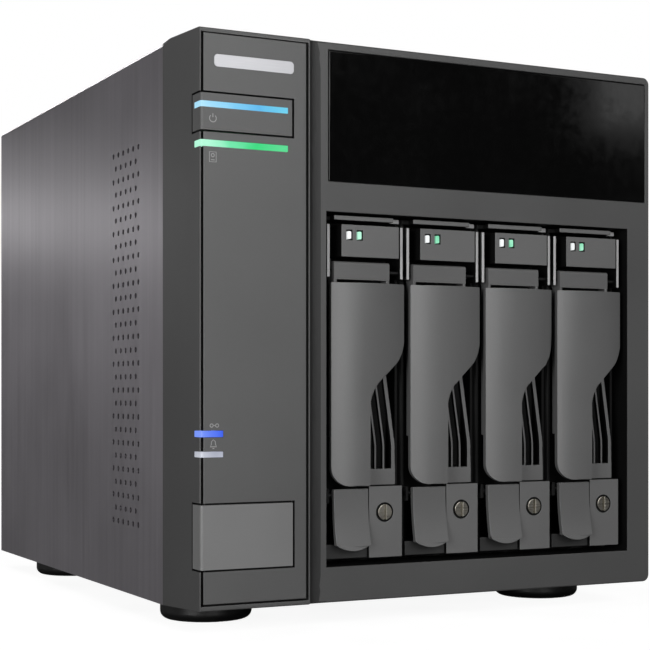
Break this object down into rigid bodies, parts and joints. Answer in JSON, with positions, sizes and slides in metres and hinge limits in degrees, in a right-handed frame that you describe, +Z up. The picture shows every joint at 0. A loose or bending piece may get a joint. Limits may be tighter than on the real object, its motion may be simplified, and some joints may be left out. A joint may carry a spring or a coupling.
{
  "type": "nas enclosure",
  "caption": "Desktop storage enclosure with a row of removable drive trays, hinged handles, latches, locks, a control pillar with light bars, a rear fan and a power supply.",
  "frame": {"origin": "centre of the footprint, on the surface that the feet stand on", "axes": "+X to the right seen from the front, -Y out of the front, +Z up"},
  "size_m": [0.17, 0.23, 0.1855],
  "materials": {
    "cover_metal": "satin paint with a fine brushed look",
    "sheet_steel": "zinc-plated sheet",
    "rear_steel": "black powder coat",
    "bezel_plastic": "fine moulded texture",
    "panel_plastic": "satin",
    "gloss_black": "polished",
    "badge_metal": "satin",
    "label_plastic": "satin",
    "lens_blue": "lit diffuser",
    "lens_green": "lit diffuser",
    "lens_grey": "diffuser",
    "lens_clear": "clear light pipe",
    "tray_plastic": "black moulded",
    "handle_plastic": "satin",
    "lock_metal": "turned and plated",
    "pin_steel": "black oxide",
    "screw_steel": "plated",
    "board_green": "solder mask",
    "connector_black": "moulded",
    "heat_sink_metal": "anodised",
    "fan_plastic": "moulded",
    "guard_steel": "plated wire",
    "contact_metal": "plated",
    "foot_rubber": "smooth"
  },
  "bodies": {
    "chassis": {"chassis_cover": "cover_metal", "chassis_base": "rear_steel", "rear_panel": "rear_steel", "cover_screws": "screw_steel", "rubber_feet": "foot_rubber", "foot_screws": "screw_steel", "front_bezel": "bezel_plastic", "gloss_panel": "gloss_black", "control_panel": "panel_plastic", "badge": "badge_metal", "label_plate": "label_plastic", "disk_light_bar": "lens_green", "link_light_bar": "lens_blue", "alert_light_bar": "lens_grey", "light_board": "board_green", "power_switch": "connector_black", "drive_cage": "sheet_steel", "cage_roof": "sheet_steel", "lower_guide_rails": "connector_black", "upper_guide_rails": "connector_black", "backplane_board": "board_green", "drive_connectors": "connector_black", "controller_board": "board_green", "heat_sink": "heat_sink_metal", "controller_chip": "connector_black", "host_port": "connector_black", "fan_frame": "fan_plastic", "fan_guard": "guard_steel", "fan_screws": "screw_steel", "supply_case": "sheet_steel", "mains_inlet": "connector_black", "inlet_pins": "contact_metal"},
    "power_button": {"power_button": "panel_plastic", "power_light_bar": "lens_blue"},
    "fan_rotor": {"fan_rotor": "fan_plastic"},
    "supply_fan_rotor": {"supply_fan_rotor": "fan_plastic"},
    "tray_1": {"tray_1_frame": "tray_plastic", "tray_1_light_pipes": "lens_clear", "tray_1_pins": "pin_steel"},
    "handle_1": {"tray_1_handle": "handle_plastic"},
    "latch_1": {"tray_1_latch": "handle_plastic"},
    "lock_1": {"tray_1_lock": "lock_metal"},
    "tray_2": {"tray_2_frame": "tray_plastic", "tray_2_light_pipes": "lens_clear", "tray_2_pins": "pin_steel"},
    "handle_2": {"tray_2_handle": "handle_plastic"},
    "latch_2": {"tray_2_latch": "handle_plastic"},
    "lock_2": {"tray_2_lock": "lock_metal"},
    "tray_3": {"tray_3_frame": "tray_plastic", "tray_3_light_pipes": "lens_clear", "tray_3_pins": "pin_steel"},
    "handle_3": {"tray_3_handle": "handle_plastic"},
    "latch_3": {"tray_3_latch": "handle_plastic"},
    "lock_3": {"tray_3_lock": "lock_metal"},
    "tray_4": {"tray_4_frame": "tray_plastic", "tray_4_light_pipes": "lens_clear", "tray_4_pins": "pin_steel"},
    "handle_4": {"tray_4_handle": "handle_plastic"},
    "latch_4": {"tray_4_latch": "handle_plastic"},
    "lock_4": {"tray_4_lock": "lock_metal"}
  },
  "joints": [
    {"name": "power_button_press", "type": "hinge", "parent": "chassis", "child": "power_button", "pos_m": [-0.0842, -0.1086, 0.1588], "axis": [0, 0, 1], "range_deg": [0, 2], "stiffness_Nm_per_rad": 1.4},
    {"name": "fan_spin", "type": "hinge", "parent": "chassis", "child": "fan_rotor", "pos_m": [0.0172, 0.098, 0.0755], "axis": [0, 1, 0], "continuous": true},
    {"name": "supply_fan_spin", "type": "hinge", "parent": "chassis", "child": "supply_fan_rotor", "pos_m": [0.055, 0.1, 0.1587], "axis": [0, 1, 0], "continuous": true},
    {"name": "tray_1_slide", "type": "slide", "parent": "chassis", "child": "tray_1", "axis": [0, -1, 0], "range_m": [0, 0.165]},
    {"name": "handle_1_hinge", "type": "hinge", "parent": "tray_1", "child": "handle_1", "pos_m": [-0.0265, -0.1086, 0.1126], "axis": [-1, 0, 0], "range_deg": [0, 60]},
    {"name": "latch_1_hinge", "type": "hinge", "parent": "tray_1", "child": "latch_1", "pos_m": [-0.03195, -0.1086, 0.0414], "axis": [-1, 0, 0], "range_deg": [0, 15], "stiffness_Nm_per_rad": 0.05},
    {"name": "lock_1_turn", "type": "hinge", "parent": "tray_1", "child": "lock_1", "pos_m": [-0.0198, -0.1095, 0.0357], "axis": [0, -1, 0], "range_deg": [0, 90]},
    {"name": "tray_2_slide", "type": "slide", "parent": "chassis", "child": "tray_2", "axis": [0, -1, 0], "range_m": [0, 0.165]},
    {"name": "handle_2_hinge", "type": "hinge", "parent": "tray_2", "child": "handle_2", "pos_m": [0.00225, -0.1086, 0.1126], "axis": [-1, 0, 0], "range_deg": [0, 60]},
    {"name": "latch_2_hinge", "type": "hinge", "parent": "tray_2", "child": "latch_2", "pos_m": [-0.0032, -0.1086, 0.0414], "axis": [-1, 0, 0], "range_deg": [0, 15], "stiffness_Nm_per_rad": 0.05},
    {"name": "lock_2_turn", "type": "hinge", "parent": "tray_2", "child": "lock_2", "pos_m": [0.00895, -0.1095, 0.0357], "axis": [0, -1, 0], "range_deg": [0, 90]},
    {"name": "tray_3_slide", "type": "slide", "parent": "chassis", "child": "tray_3", "axis": [0, -1, 0], "range_m": [0, 0.165]},
    {"name": "handle_3_hinge", "type": "hinge", "parent": "tray_3", "child": "handle_3", "pos_m": [0.031, -0.1086, 0.1126], "axis": [-1, 0, 0], "range_deg": [0, 60]},
    {"name": "latch_3_hinge", "type": "hinge", "parent": "tray_3", "child": "latch_3", "pos_m": [0.02555, -0.1086, 0.0414], "axis": [-1, 0, 0], "range_deg": [0, 15], "stiffness_Nm_per_rad": 0.05},
    {"name": "lock_3_turn", "type": "hinge", "parent": "tray_3", "child": "lock_3", "pos_m": [0.0377, -0.1095, 0.0357], "axis": [0, -1, 0], "range_deg": [0, 90]},
    {"name": "tray_4_slide", "type": "slide", "parent": "chassis", "child": "tray_4", "axis": [0, -1, 0], "range_m": [0, 0.165]},
    {"name": "handle_4_hinge", "type": "hinge", "parent": "tray_4", "child": "handle_4", "pos_m": [0.05975, -0.1086, 0.1126], "axis": [-1, 0, 0], "range_deg": [0, 60]},
    {"name": "latch_4_hinge", "type": "hinge", "parent": "tray_4", "child": "latch_4", "pos_m": [0.0543, -0.1086, 0.0414], "axis": [-1, 0, 0], "range_deg": [0, 15], "stiffness_Nm_per_rad": 0.05},
    {"name": "lock_4_turn", "type": "hinge", "parent": "tray_4", "child": "lock_4", "pos_m": [0.06645, -0.1095, 0.0357], "axis": [0, -1, 0], "range_deg": [0, 90]}
  ]
}
